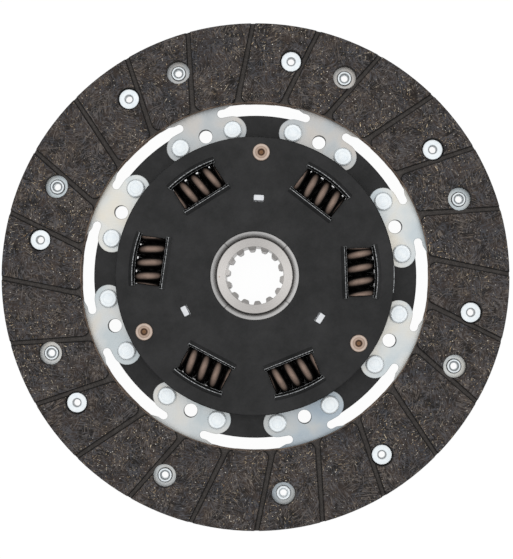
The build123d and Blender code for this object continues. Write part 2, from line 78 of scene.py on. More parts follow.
def new_material(name):
    """An empty node material that ends in a Principled shader; returns both."""
    material = bpy.data.materials.new(name)
    material.use_nodes = True
    material.node_tree.nodes.clear()
    surface = node(material, "BsdfPrincipled")
    node(material, "OutputMaterial", {"Surface": surface.outputs[0]})
    return material, surface


def link(material, source, surface, socket):
    """Feeds one output to a socket of the material's shader."""
    material.node_tree.links.new(source, surface.inputs[socket])


def from_axis(material, place):
    """Distance of a place from the disc's axis."""
    flat = node(material, "VectorMath", {0: place, 1: (1, 1, 0)}, operation="MULTIPLY").outputs[0]
    return node(material, "VectorMath", {0: flat}, operation="LENGTH").outputs["Value"]


def edge_agreement(material, radius, samples):
    """1 on a flat face, less near an edge, where a normal softened over the radius leaves the face's own."""
    softened = node(material, "Bevel", {"Radius": radius}, samples=samples)
    own = node(material, "NewGeometry").outputs["Normal"]
    return node(material, "VectorMath", {0: softened.outputs[0], 1: own},
                operation="DOT_PRODUCT").outputs["Value"]


def give(names, material):
    """Puts a material on CAD nodes by name."""
    for name in names:
        for slot_at in range(len(nodes[name].material_slots)):
            nodes[name].material_slots[slot_at].material = material
        if not nodes[name].material_slots:
            nodes[name].data.materials.append(material)


# Real yarn and wire are finer; they are drawn this wide so that they show
STRAND_WIDTH = 0.00050
STRAND_LENGTH = 0.0040
BUNDLE_SIZE = 0.0066
RESIN_CLOUD = 0.003125
WIRE_FIELD = 0.01111
LINING_MIDDLE = (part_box("front_lining")[0][2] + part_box("rear_lining")[1][2]) / 2
LINING_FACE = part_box("front_lining")[1][2] - LINING_MIDDLE
LINING_INNER = 0.0784
SKIN_DEPTH = 0.0006
FACE_DEPTH = 0.0001
# Fibre layers: seed, scale of the bundles, strength
FIBRE_LAYERS = ((1.0, 1.0, 0.70), (2.3, 0.75, 0.75), (4.1, 1.25, 0.80), (5.7, 0.6, 0.70), (8.9, 0.9, 0.80))
# Cut wires: seed, size of a bundle, width and length of a wire, threshold, darkest and brightest tone
CUT_WIRES = ((11.3, 0.0056, 0.00044, 0.0040, 0.685, ("#d9bd90", "#f6ead0")),
             (13.9, 0.0038, 0.00038, 0.0024, 0.69, ("#a5825e", "#d9c096")))
# Wire ends: seed, pitch, reach as a share of the pitch, share left out
WIRE_ENDS = ((3.0, 0.0014, 0.125, 0.90), (6.0, 0.0019, 0.11, 0.84), (9.0, 0.0031, 0.085, 0.60))

lining, lining_shader = new_material("ground_woven_friction_lining")
place = node(lining, "TexCoord").outputs["Object"]


def bundles(material, place, seed, size, width, length, low, high):
    """Bundles of parallel strands, each turned its own way; returns a mask and a random colour per bundle."""
    moved = node(material, "VectorMath", {0: place, 1: (seed * 0.37, seed * 0.21, 0)},
                 operation="ADD").outputs[0]
    drift = node(material, "TexNoise", {"Vector": moved, "Scale": 0.6 / size, "Detail": 1.0})
    bend = node(material, "VectorMath", {0: drift.outputs["Color"], "Scale": size * 0.9},
                operation="SCALE").outputs[0]
    bent = node(material, "VectorMath", {0: moved, 1: bend}, operation="ADD").outputs[0]
    cells = node(material, "TexVoronoi", {"Vector": bent, "Scale": 1 / size}, voronoi_dimensions="2D")
    inside = node(material, "VectorMath", {0: bent, 1: cells.outputs["Position"]},
                  operation="SUBTRACT").outputs[0]
    random_turn = node(material, "SeparateXYZ", {"Vector": cells.outputs["Color"]}).outputs["X"]
    angle = node(material, "Math", {0: random_turn, 1: 2 * math.pi}, operation="MULTIPLY").outputs[0]
    turned = node(material, "VectorRotate", {"Vector": inside, "Angle": angle},
                  rotation_type="Z_AXIS").outputs[0]
    drawn = node(material, "VectorMath", {0: turned, 1: (1 / length, 1 / width, 0), 2: (seed, seed * 3.1, 0)},
                 operation="MULTIPLY_ADD").outputs[0]
    shifted = node(material, "VectorMath", {0: cells.outputs["Color"], 1: (37.0, 53.0, 0), 2: drawn},
                   operation="MULTIPLY_ADD").outputs[0]
    strands = node(material, "TexNoise", {"Vector": shifted, "Scale": 1.0, "Detail": 1.5, "Roughness": 0.55})
    mask = node(material, "MapRange", {"Value": strands.outputs["Fac"], "From Min": low, "From Max": high},
                interpolation_type="SMOOTHSTEP").outputs[0]
    fade = node(material, "MapRange",
                {"Value": cells.outputs["Distance"], "From Min": 0.70, "From Max": 0.40}).outputs[0]
    return node(material, "Math", {0: mask, 1: fade}, operation="MULTIPLY").outputs[0], cells.outputs["Color"]


clouds = node(lining, "TexNoise",
              {"Vector": place, "Scale": 0.5 / RESIN_CLOUD, "Detail": 6.0, "Roughness": 0.7})
woven = node(lining, "ValToRGB", {"Fac": clouds.outputs["Fac"]},
             stops=((0.42, "#1b1715"), (0.59, "#3a312c"))).outputs[0]
fibres = None
for seed, scale, strength in FIBRE_LAYERS:
    mask, tint = bundles(lining, place, seed, BUNDLE_SIZE * scale, STRAND_WIDTH, STRAND_LENGTH * scale, 0.53,
                         0.66)
    tone = node(lining, "ValToRGB", {"Fac": node(lining, "SeparateXYZ", {"Vector": tint}).outputs["Y"]},
                stops=((0.0, "#464950"), (0.5, "#5a585a"), (1.0, "#776d64")))
    share = node(lining, "Math", {0: mask, 1: strength}, operation="MULTIPLY").outputs[0]
    woven = node(lining, "Mix", {0: share, 6: woven, 7: tone.outputs[0]}, data_type="RGBA").outputs[2]
    fibres = mask if fibres is None else node(lining, "Math", {0: fibres, 1: mask},
                                              operation="MAXIMUM").outputs[0]
# Cut wires: short curved filaments and, in denser fields, tiny bright dots. They are brass and copper,
# lightened towards white as painted glints
wire_fields = node(lining, "TexNoise", {"Vector": place, "Scale": 0.5 / WIRE_FIELD, "Detail": 2.0})
wire_room = node(lining, "MapRange",
                 {"Value": wire_fields.outputs["Fac"], "From Min": 0.42, "From Max": 0.64}).outputs[0]
faced = woven
for seed, size, width, length, low, tones in CUT_WIRES:
    mask, tint = bundles(lining, place, seed, size, width, length, low, low + 0.02)
    share = node(lining, "Math", {0: mask, 1: wire_room}, operation="MULTIPLY").outputs[0]
    tone = node(lining, "Mix",
                {0: node(lining, "SeparateXYZ", {"Vector": tint}).outputs["Z"], 6: linear(tones[0]),
                 7: linear(tones[1])}, data_type="RGBA").outputs[2]
    faced = node(lining, "Mix", {0: share, 6: faced, 7: tone}, data_type="RGBA").outputs[2]
for seed, pitch, reach, chosen in WIRE_ENDS:
    moved = node(lining, "VectorMath", {0: place, 1: (seed, seed * 0.7, 0)}, operation="ADD").outputs[0]
    dots = node(lining, "TexVoronoi", {"Vector": moved, "Scale": 1 / pitch}, voronoi_dimensions="2D")
    lot = node(lining, "SeparateXYZ", {"Vector": dots.outputs["Color"]})
    here = node(lining, "MapRange",
                {"Value": dots.outputs["Distance"], "From Min": reach, "From Max": reach * 0.5}).outputs[0]
    picked = node(lining, "Math", {0: lot.outputs["X"], 1: chosen}, operation="GREATER_THAN").outputs[0]
    share = node(lining, "Math", {0: here, 1: picked}, operation="MULTIPLY").outputs[0]
    room = node(lining, "MapRange", {"Value": wire_room, "To Min": 0.40, "To Max": 0.95}).outputs[0]
    share = node(lining, "Math", {0: share, 1: room}, operation="MULTIPLY").outputs[0]
    tone = node(lining, "ValToRGB", {"Fac": lot.outputs["Y"]},
                stops=((0.0, "#93816a"), (0.5, "#d2bd98"), (1.0, "#f4f1ea")))
    faced = node(lining, "Mix", {0: share, 6: faced, 7: tone.outputs[0]}, data_type="RGBA").outputs[2]
# The floors of the grooves and all edges keep the pressed skin: plainer, brownish at the inner edge
height = node(lining, "Math",
              {0: node(lining, "SeparateXYZ", {"Vector": place}).outputs["Z"], 1: LINING_MIDDLE},
              operation="SUBTRACT").outputs[0]
height = node(lining, "Math", {0: height}, operation="ABSOLUTE").outputs[0]
ground_face = node(lining, "MapRange",
                   {"Value": height, "From Min": LINING_FACE - SKIN_DEPTH,
                    "From Max": LINING_FACE - FACE_DEPTH,
                    "To Min": 0.0, "To Max": 1.0}).outputs[0]
skin = node(lining, "Mix", {0: fibres, 6: linear("#3b3735"), 7: linear("#4d4946")}, data_type="RGBA")
skinned = node(lining, "Mix", {0: ground_face, 6: skin.outputs[2], 7: faced}, data_type="RGBA").outputs[2]
# Painted shade: the cut edges and the corners of the grooves are darkened in the colour, where shadow falls
agree = edge_agreement(lining, 0.00050, 8)
painted_edge_shade = node(lining, "MapRange",
                 {"Value": agree, "From Min": 0.95, "From Max": 0.9995, "To Min": 0.12}).outputs[0]
corner = node(lining, "AmbientOcclusion", {"Distance": 0.0006}, samples=8).outputs["AO"]
painted_corner_shade = node(lining, "MapRange",
                   {"Value": corner, "From Min": 0.50, "From Max": 0.95, "To Min": 0.15}).outputs[0]
painted_edge_shade = node(lining, "Math", {0: painted_edge_shade, 1: painted_corner_shade}, operation="MULTIPLY").outputs[0]
skinned = node(lining, "VectorMath", {0: skinned, "Scale": painted_edge_shade}, operation="SCALE").outputs[0]
inner_edge = node(lining, "MapRange",
                  {"Value": from_axis(lining, place), "From Min": LINING_INNER + 0.00015,
                   "From Max": LINING_INNER + 0.00005}).outputs[0]
edge_speckle = node(lining, "MapRange",
                    {"Value": clouds.outputs["Fac"], "From Min": 0.40, "From Max": 0.60, "To Min": 0.25,
                     "To Max": 0.95}).outputs[0]
edge_share = node(lining, "Math", {0: inner_edge, 1: edge_speckle}, operation="MULTIPLY").outputs[0]
edged = node(lining, "Mix", {0: edge_share, 6: skinned, 7: linear("#9a8473")}, data_type="RGBA")
link(lining, edged.outputs[2], lining_shader, "Base Color")
lining_shader.inputs["Roughness"].default_value = 0.8
lining_shader.inputs["IOR"].default_value = 1.55
lining_shader.inputs["Specular IOR Level"].default_value = 0.25
relief = node(lining, "Bump", {"Height": fibres, "Strength": 0.5, "Distance": 0.00006})
link(lining, relief.outputs[0], lining_shader, "Normal")
give(["front_lining", "rear_lining"], lining)


# Cushion segments.
# Eight leaves of hardened spring-steel strip, blanked and pressed wavy; left bare. To the eye: satin light
# grey with fine straight lines of cold rolling along each leaf and faint blue or straw temper stains; some
# leaves are duller or bluer than others.

# Rolling lines are finer in the steel, and drawn this wide so that they show
ROLLING_LINE = 0.0003
TEMPER_STAIN = 0.00909
FIRST_LEAF = 19.43
LEAF_PITCH = 45
HOLE_CIRCLE = 0.0672
HOLE_RADIUS = 0.00312
BRIGHT_LEAF = ("#c3ccd0", "#d2d5d4", "#dad6cc")
PLAIN_LEAF = ("#bac2c5", "#c8cbcb", "#d0ccc4")
DULL_LEAF = ("#a9b0b4", "#b7babb", "#c1bdb8")
BLUE_LEAF = ("#9ba8b3", "#abb5bc", "#b9bcbc")
leaf_tones = [BRIGHT_LEAF, DULL_LEAF, DULL_LEAF, BRIGHT_LEAF, PLAIN_LEAF, PLAIN_LEAF, BLUE_LEAF, BRIGHT_LEAF]


def grained(material, surface, grain, smooth, rough, strength, depth):
    """A fine grain that varies the roughness between two values and lifts the surface a little."""
    roughness = node(material, "MapRange",
                     {"Value": grain, "From Min": 0.3, "From Max": 0.7, "To Min": smooth, "To Max": rough})
    link(material, roughness.outputs[0], surface, "Roughness")
    relief = node(material, "Bump", {"Height": grain, "Strength": strength, "Distance": depth})
    link(material, relief.outputs[0], surface, "Normal")


for leaf, tones in enumerate(leaf_tones):
    strip, strip_shader = new_material(f"cold_rolled_spring_steel_{leaf + 1}")
    place = node(strip, "TexCoord").outputs["Object"]
    along = node(strip, "VectorRotate",
                 {"Vector": place, "Angle": -math.radians(FIRST_LEAF + LEAF_PITCH * leaf + 20)},
                 rotation_type="Z_AXIS").outputs[0]
    lines_place = node(strip, "VectorMath", {0: along, 1: (0.02, 1.0, 1.0)}, operation="MULTIPLY").outputs[0]
    rolling = node(strip, "TexNoise", {"Vector": lines_place, "Scale": 0.5 / ROLLING_LINE, "Detail": 3.0})
    stain = node(strip, "TexNoise",
                 {"Vector": place, "Scale": 0.5 / TEMPER_STAIN, "Detail": 3.0, "Roughness": 0.5,
                  "Distortion": 0.4})
    tint = node(strip, "ValToRGB", {"Fac": stain.outputs["Fac"]}, stops=tuple(zip((0.36, 0.5, 0.66), tones)))
    rolling_lines_and_shade = node(strip, "MapRange",
                 {"Value": rolling.outputs["Fac"], "From Min": 0.35, "From Max": 0.65, "To Min": 0.96,
                  "To Max": 1.03}).outputs[0]
    # Painted shade: blanked edges are darkened in the colour, found where the normal, softened over the
    # edge, leaves the face's own
    agree = edge_agreement(strip, 0.0006, 6)
    edge_shade = node(strip, "MapRange",
                      {"Value": agree, "From Min": 0.85, "From Max": 0.995, "To Min": 0.45}).outputs[0]
    rolling_lines_and_shade = node(strip, "Math", {0: rolling_lines_and_shade, 1: edge_shade}, operation="MULTIPLY").outputs[0]
    # Painted shade: a thin dark ring round each foot hole, where the hole's wall lies in shadow
    hole_way = math.radians(FIRST_LEAF + LEAF_PITCH * leaf)
    hole_place = (HOLE_CIRCLE * math.cos(hole_way), HOLE_CIRCLE * math.sin(hole_way), 0)
    flat = node(strip, "VectorMath", {0: place, 1: (1, 1, 0)}, operation="MULTIPLY").outputs[0]
    hole_off = node(strip, "VectorMath", {0: flat, 1: hole_place}, operation="DISTANCE").outputs["Value"]
    hole_shade = node(strip, "MapRange",
                      {"Value": hole_off, "From Min": HOLE_RADIUS, "From Max": HOLE_RADIUS + 0.0001,
                       "To Min": 0.12}).outputs[0]
    rolling_lines_and_shade = node(strip, "Math", {0: rolling_lines_and_shade, 1: hole_shade}, operation="MULTIPLY").outputs[0]
    strip_colour = node(strip, "VectorMath", {0: tint.outputs[0], "Scale": rolling_lines_and_shade},
                        operation="SCALE").outputs[0]
    link(strip, strip_colour, strip_shader, "Base Color")
    strip_shader.inputs["Metallic"].default_value = 0.7
    grained(strip, strip_shader, rolling.outputs["Fac"], 0.36, 0.48, 0.15, 0.00002)
    give([f"cushion_segment_{leaf + 1}"], strip)


# Rivets: sixteen solid foot rivets and the tubular lining rivets.
# Soft steel, cold headed and closed in a press, with a bright zinc coat. To the eye: bluish white, smooth and
# slightly clouded, with a faint round on each foot rivet where the tool pressed.
def from_centres(material, place, circle_r, count, phase):
    """Distance across the disc from the nearest of the centres spaced evenly on a circle."""
    spot = node(material, "SeparateXYZ", {"Vector": place})
    turn = node(material, "Math", {0: spot.outputs["Y"], 1: spot.outputs["X"]},
                operation="ARCTAN2").outputs[0]
    turn = node(material, "Math", {0: turn, 1: math.radians(phase)}, operation="SUBTRACT").outputs[0]
    turn = node(material, "Math", {0: turn, 1: math.pi / count, 2: -math.pi / count},
                operation="WRAP").outputs[0]
    sideways = node(material, "Math", {0: turn, 1: circle_r}, operation="MULTIPLY").outputs[0]
    outwards = node(material, "Math", {0: from_axis(material, place), 1: circle_r},
                    operation="SUBTRACT").outputs[0]
    offset = node(material, "CombineXYZ", {"X": sideways, "Y": outwards})
    return node(material, "VectorMath", {0: offset.outputs[0]}, operation="LENGTH").outputs["Value"]


ZINC_CLOUD = 0.001042
FOOT_CIRCLE = 0.0670
FOOT_SPREAD = 10.75
RIVET_CIRCLE = 0.09819
CLOSING_HEADS = 20.67
FRONT_HEADS = 35.42
# Painted shade rings on the lining rivets: bearing of the first, radius, half width, brightness
HEAD_SHADE_RINGS = ((CLOSING_HEADS, 0.00205, 0.00035, 0.50), (CLOSING_HEADS, 0.00330, 0.00035, 0.38),
              (FRONT_HEADS, 0.00180, 0.0004, 0.62))
zinc, zinc_shader = new_material("bright_zinc_on_steel")
place = node(zinc, "TexCoord").outputs["Object"]
coat = node(zinc, "TexNoise", {"Vector": place, "Scale": 0.5 / ZINC_CLOUD, "Detail": 3.0, "Roughness": 0.6})
coat_colour = node(zinc, "ValToRGB", {"Fac": coat.outputs["Fac"]},
                   stops=((0.32, "#e2eaef"), (0.66, "#f3f8fa"))).outputs[0]
first = from_centres(zinc, place, FOOT_CIRCLE, 8, FIRST_LEAF - FOOT_SPREAD)
second = from_centres(zinc, place, FOOT_CIRCLE, 8, FIRST_LEAF + FOOT_SPREAD)
from_middle = node(zinc, "Math", {0: first, 1: second}, operation="MINIMUM").outputs[0]
pressed = node(zinc, "ValToRGB",
               {"Fac": node(zinc, "MapRange", {"Value": from_middle, "From Max": 0.0045}).outputs[0]})
pressed.color_ramp.elements[0].color = (1, 1, 1, 1)
pressed.color_ramp.elements[1].color = (1, 1, 1, 1)
for position, shade in ((0.44, 0.99), (0.52, 0.90), (0.60, 0.98), (0.84, 1.0)):
    pressed.color_ramp.elements.new(position).color = (shade, shade, shade, 1)
zinc_colour = node(zinc, "VectorMath", {0: coat_colour, 1: pressed.outputs[0]},
                   operation="MULTIPLY").outputs[0]
# Painted shade: the lining rivets are darkened in rings where the wall turns into the open end and where
# the rolled head begins, as shadow falls there
for phase, ring_r, half_width, depth in HEAD_SHADE_RINGS:
    off = from_centres(zinc, place, RIVET_CIRCLE, 8, phase)
    ring = node(zinc, "MapRange",
                {"Value": node(zinc, "Math", {0: off, 1: ring_r, 2: half_width},
                               operation="COMPARE").outputs[0],
                 "To Min": 1.0, "To Max": depth}).outputs[0]
    zinc_colour = node(zinc, "VectorMath", {0: zinc_colour, "Scale": ring}, operation="SCALE").outputs[0]
link(zinc, zinc_colour, zinc_shader, "Base Color")
zinc_shader.inputs["Metallic"].default_value = 0.45
grained(zinc, zinc_shader, coat.outputs["Fac"], 0.28, 0.42, 0.15, 0.00003)
give(["foot_rivets", "front_lining_rivets", "rear_lining_rivets"], zinc)


# Drive plate and cover plate.
# Deep-drawing steel sheet, blanked and pressed, phosphated black and oiled. To the eye: even charcoal
# black with a soft sheen, a very fine grain, and a hairline of painted highlight along the lips' crests.

# The phosphate's crystals are far finer, and drawn this coarse so that they show
PLATE_GRAIN = 0.0003
OIL_CLOUD = 0.00833
CREST_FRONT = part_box("cover_plate")[1][2]
CREST_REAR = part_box("drive_plate")[0][2]
COVER_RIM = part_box("cover_plate")[1][0] - 0.0001
LIP_RISE = 0.00045
WINDOW_CIRCLE = 0.0470
RIGHT_HIGHLIGHT_AT = -1.5
RIGHT_HIGHLIGHT_HALF = 5.5
black, black_shader = new_material("black_phosphated_sheet_steel")
place = node(black, "TexCoord").outputs["Object"]
grain = node(black, "TexNoise",
             {"Vector": place, "Scale": 0.5 / PLATE_GRAIN, "Detail": 3.0, "Roughness": 0.6})
oiling = node(black, "TexNoise",
              {"Vector": place, "Scale": 0.5 / OIL_CLOUD, "Detail": 8.0, "Roughness": 0.75})
plate_colour = node(black, "ValToRGB", {"Fac": oiling.outputs["Fac"]},
                    stops=((0.38, "#0c0d0e"), (0.64, "#242425"))).outputs[0]
height_up = node(black, "SeparateXYZ", {"Vector": place}).outputs["Z"]
# Painted highlight: a hairline along the crests of the lips, front and rear, lightened in the colour
front_crest_highlight = node(black, "MapRange", {"Value": height_up, "From Min": CREST_FRONT - 0.00008,
                                       "From Max": CREST_FRONT - 0.00003}).outputs[0]
rear_crest_highlight = node(black, "MapRange", {"Value": height_up, "From Min": CREST_REAR + 0.00008,
                                      "From Max": CREST_REAR + 0.00003}).outputs[0]
painted_highlights = node(black, "Math", {0: front_crest_highlight, 1: rear_crest_highlight}, operation="MAXIMUM").outputs[0]
# Painted highlight: the sharp rims of the lips are lightened too, thinly
agree = edge_agreement(black, 0.0003, 6)
rim_highlights = node(black, "MapRange",
            {"Value": agree, "From Min": 0.985, "From Max": 0.88, "To Max": 0.8}).outputs[0]
lifted_front = node(black, "Math", {0: height_up, 1: CREST_FRONT - LIP_RISE},
                    operation="GREATER_THAN").outputs[0]
lifted_rear = node(black, "Math", {0: height_up, 1: CREST_REAR + LIP_RISE}, operation="LESS_THAN").outputs[0]
lifted = node(black, "Math", {0: lifted_front, 1: lifted_rear}, operation="MAXIMUM").outputs[0]
rim_highlights = node(black, "Math", {0: rim_highlights, 1: lifted}, operation="MULTIPLY").outputs[0]
painted_highlights = node(black, "Math", {0: painted_highlights, 1: rim_highlights}, operation="MAXIMUM").outputs[0]
patchy = node(black, "MapRange",
              {"Value": grain.outputs["Fac"], "From Min": 0.40, "From Max": 0.58, "To Min": 0.15,
               "To Max": 0.9}).outputs[0]
# Painted highlight: one stretch of the cover's rim, on the right, is lightened where it faces the low
# light on the right, drawn as bare metal
bearing = node(black, "SeparateXYZ", {"Vector": place})
bearing = node(black, "Math", {0: bearing.outputs["Y"], 1: bearing.outputs["X"]},
               operation="ARCTAN2").outputs[0]
right_rim_highlight = node(black, "Math", {0: bearing, 1: math.radians(RIGHT_HIGHLIGHT_AT), 2: math.radians(RIGHT_HIGHLIGHT_HALF)},
               operation="COMPARE").outputs[0]
flat = node(black, "VectorMath", {0: place, 1: (1, 1, 0)}, operation="MULTIPLY").outputs[0]
outwards = node(black, "VectorMath", {0: flat}, operation="NORMALIZE").outputs[0]
from_middle = node(black, "VectorMath", {0: flat}, operation="LENGTH").outputs["Value"]
rim = node(black, "Math", {0: from_middle, 1: COVER_RIM, 2: 0.00022}, operation="COMPARE").outputs[0]
right_rim_highlight = node(black, "Math", {0: right_rim_highlight, 1: rim}, operation="MULTIPLY").outputs[0]
painted_highlights = node(black, "Math", {0: painted_highlights, 1: right_rim_highlight}, operation="MAXIMUM").outputs[0]
# Painted highlight: the crest, rim and right-hand rim masks, broken up by the grain, mix the colour towards
# light grey
painted_highlight_share = node(black, "Math", {0: painted_highlights, 1: patchy}, operation="MULTIPLY").outputs[0]
# The flank of each lip that faces its window lies in shadow and is dead black
facing = node(black, "VectorMath", {0: node(black, "TexCoord").outputs["Normal"], 1: outwards},
              operation="DOT_PRODUCT").outputs["Value"]
beyond = node(black, "Math", {0: from_middle, 1: WINDOW_CIRCLE}, operation="SUBTRACT").outputs[0]
beyond = node(black, "Math", {0: beyond}, operation="SIGN").outputs[0]
facing = node(black, "Math", {0: facing, 1: beyond}, operation="MULTIPLY").outputs[0]
window_flank = node(black, "MapRange", {"Value": facing, "From Min": -0.05, "From Max": -0.18}).outputs[0]
window_flank = node(black, "Math", {0: window_flank, 1: lifted}, operation="MULTIPLY").outputs[0]
shaded = node(black, "Mix", {0: window_flank, 6: plate_colour, 7: linear("#050505")}, data_type="RGBA")
plate_mix = node(black, "Mix", {0: painted_highlight_share, 6: shaded.outputs[2], 7: linear("#d3d6d8")}, data_type="RGBA")
link(black, plate_mix.outputs[2], black_shader, "Base Color")
gloss = node(black, "MapRange", {"Value": window_flank, "To Min": 0.32, "To Max": 0.05}).outputs[0]
link(black, gloss, black_shader, "Specular IOR Level")
grained(black, black_shader, grain.outputs["Fac"], 0.44, 0.58, 0.25, 0.00002)
give(["drive_plate", "cover_plate"], black)


# Stop pins.
# Shouldered steel pins, coppered for drawing and riveted over cold. To the eye: a pale coppery head with
# turned rings, and a brown punched middle.
COPPER_CLOUD = 0.00119
PIN_TURNING = 0.000192
PIN_CIRCLE = 0.0551
FIRST_PIN = 86.93
PIN_TONES = ((0.0, "#5f4530"), (0.13, "#7a583a"), (0.27, "#4b3527"), (0.40, "#7d6555"), (0.46, "#b09a8b"),
             (0.66, "#a28d7e"), (0.72, "#c4b2a6"), (0.88, "#bba99c"), (1.0, "#8a7466"))
coppered, coppered_shader = new_material("coppered_steel")
place = node(coppered, "TexCoord").outputs["Object"]
bloom = node(coppered, "TexNoise",
             {"Vector": place, "Scale": 0.5 / COPPER_CLOUD, "Detail": 3.0, "Roughness": 0.6})
from_pin = from_centres(coppered, place, PIN_CIRCLE, 3, FIRST_PIN)
head_rings = node(coppered, "TexNoise",
                  {"Vector": node(coppered, "CombineXYZ", {"X": from_pin}).outputs[0],
                   "Scale": 0.5 / PIN_TURNING, "Detail": 1.0})
pin_colour = node(coppered, "ValToRGB",
                  {"Fac": node(coppered, "MapRange", {"Value": from_pin, "From Max": 0.004}).outputs[0]},
                  stops=PIN_TONES)
ring_shade = node(coppered, "MapRange",
                  {"Value": head_rings.outputs["Fac"], "From Min": 0.35, "From Max": 0.65,
                   "To Min": 0.88, "To Max": 1.05}).outputs[0]
bloom_shade = node(coppered, "MapRange", {"Value": bloom.outputs["Fac"], "From Min": 0.3, "From Max": 0.7,
                                          "To Min": 0.86, "To Max": 1.08}).outputs[0]
shade = node(coppered, "Math", {0: ring_shade, 1: bloom_shade}, operation="MULTIPLY").outputs[0]
coppered_colour = node(coppered, "VectorMath", {0: pin_colour.outputs[0], "Scale": shade},
                       operation="SCALE").outputs[0]
link(coppered, coppered_colour, coppered_shader, "Base Color")
coppered_shader.inputs["Metallic"].default_value = 0.6
coppered_shader.inputs["Roughness"].default_value = 0.42
relief = node(coppered, "Bump", {"Height": head_rings.outputs["Fac"], "Strength": 0.2, "Distance": 0.00003})
link(coppered, relief.outputs[0], coppered_shader, "Normal")
give(["stop_pins"], coppered)


# Hub and front guide ring.
# The hub is drop-forged case-hardening steel, turned on the tube, boss and faces, the spline broached; the
# ring is turned from the same steel. Bare and lightly oiled: warm light grey with fine turning rings.
TURNING_PITCH = 0.00022
# The mottle's fields: radians round the axis, and metres outwards
MOTTLE_TURN = 0.03125
MOTTLE_STEP = 0.00026
HUB_TOP = 0.0224
MOUTH_FLOOR = 0.0212
TOOTH_ROOT = 0.0126
FLECK_PLACE = (-0.0157, -0.00055, HUB_TOP)
SCORES = (43, 133, 227, 321)


def turned_steel(name, low_tone, high_tone, ring_low, side_sheen):
    """Bare turned steel: rings about the disc's axis, and a fine mottle where they catch the light."""
    turned, turned_shader = new_material(name)
    place = node(turned, "TexCoord").outputs["Object"]
    radius = from_axis(turned, place)
    spot = node(turned, "SeparateXYZ", {"Vector": place})
    bearing = node(turned, "Math", {0: spot.outputs["Y"], 1: spot.outputs["X"]},
                   operation="ARCTAN2").outputs[0]
    ring_place = node(turned, "CombineXYZ", {"X": radius, "Y": spot.outputs["Z"]})
    rings = node(turned, "TexNoise",
                 {"Vector": ring_place.outputs[0], "Scale": 0.5 / TURNING_PITCH, "Detail": 2.0})
    ring_steps = node(turned, "Math", {0: radius, 1: MOTTLE_TURN / MOTTLE_STEP},
                      operation="MULTIPLY").outputs[0]
    mottle_place = node(turned, "CombineXYZ", {"X": bearing, "Y": ring_steps}).outputs[0]
    mottle = node(turned, "TexNoise",
                  {"Vector": mottle_place, "Scale": 0.5 / MOTTLE_TURN, "Detail": 4.0, "Roughness": 0.7})
    steel_colour = node(turned, "ValToRGB", {"Fac": mottle.outputs["Fac"]},
                        stops=((0.3, low_tone), (0.7, high_tone))).outputs[0]
    ringed = node(turned, "MapRange",
                  {"Value": rings.outputs["Fac"], "From Min": 0.35, "From Max": 0.65, "To Min": ring_low,
                   "To Max": 1.03}).outputs[0]
    # Turning rings catch the light broadside on, so the face is brighter towards the left and right
    across = node(turned, "Math",
                  {0: node(turned, "Math", {0: bearing}, operation="COSINE").outputs[0], 1: 2.0},
                  operation="POWER").outputs[0]
    sheen = node(turned, "MapRange", {"Value": across, "To Min": side_sheen, "To Max": 0.96}).outputs[0]
    ringed = node(turned, "Math", {0: ringed, 1: sheen}, operation="MULTIPLY").outputs[0]
    turned_colour = node(turned, "VectorMath", {0: steel_colour, "Scale": ringed},
                         operation="SCALE").outputs[0]
    link(turned, turned_colour, turned_shader, "Base Color")
    turned_shader.inputs["Metallic"].default_value = 0.8
    grained(turned, turned_shader, rings.outputs["Fac"], 0.32, 0.44, 0.15, 0.00002)
    return turned, turned_shader, place, radius, turned_colour


hub_steel, hub_shader, place, radius, face_colour = turned_steel("turned_forged_steel", "#c0bcb9", "#cecbc8",
                                                                 0.95, 0.70)
# Painted shade: inside the spline the tooth walls are grey and darken towards the rear end, deep in the
# bore; a rust fleck marks the face
depth = node(hub_steel, "SeparateXYZ", {"Vector": place}).outputs["Z"]
below_mouth = node(hub_steel, "MapRange",
                   {"Value": depth, "From Min": MOUTH_FLOOR, "From Max": MOUTH_FLOOR - 0.0003}).outputs[0]
on_teeth = node(hub_steel, "MapRange",
                {"Value": radius, "From Min": TOOTH_ROOT, "From Max": TOOTH_ROOT - 0.0003}).outputs[0]
tooth_wall = node(hub_steel, "Math", {0: below_mouth, 1: on_teeth}, operation="MULTIPLY").outputs[0]
bore_shade_tone = node(hub_steel, "ValToRGB",
                 {"Fac": node(hub_steel, "MapRange", {"Value": depth, "From Max": HUB_TOP}).outputs[0]},
                 stops=((0.0, "#2c2a29"), (0.35, "#8f8b88"), (1.0, "#9a9693")))
walled = node(hub_steel, "Mix", {0: tooth_wall, 6: face_colour, 7: bore_shade_tone.outputs[0]},
              data_type="RGBA").outputs[2]
fleck_off = node(hub_steel, "VectorMath", {0: place, 1: FLECK_PLACE}, operation="DISTANCE").outputs["Value"]
fleck = node(hub_steel, "MapRange",
             {"Value": fleck_off, "From Min": 0.0004, "From Max": 0.0002, "To Max": 0.6}).outputs[0]
walled = node(hub_steel, "Mix", {0: fleck, 6: walled, 7: linear("#8a6544")}, data_type="RGBA").outputs[2]
link(hub_steel, walled, hub_shader, "Base Color")
give(["hub"], hub_steel)

ring_steel, ring_shader, place, radius, ring_colour = turned_steel("turned_bar_steel", "#a4a3a2", "#b3b2b1",
                                                                   0.88, 0.88)
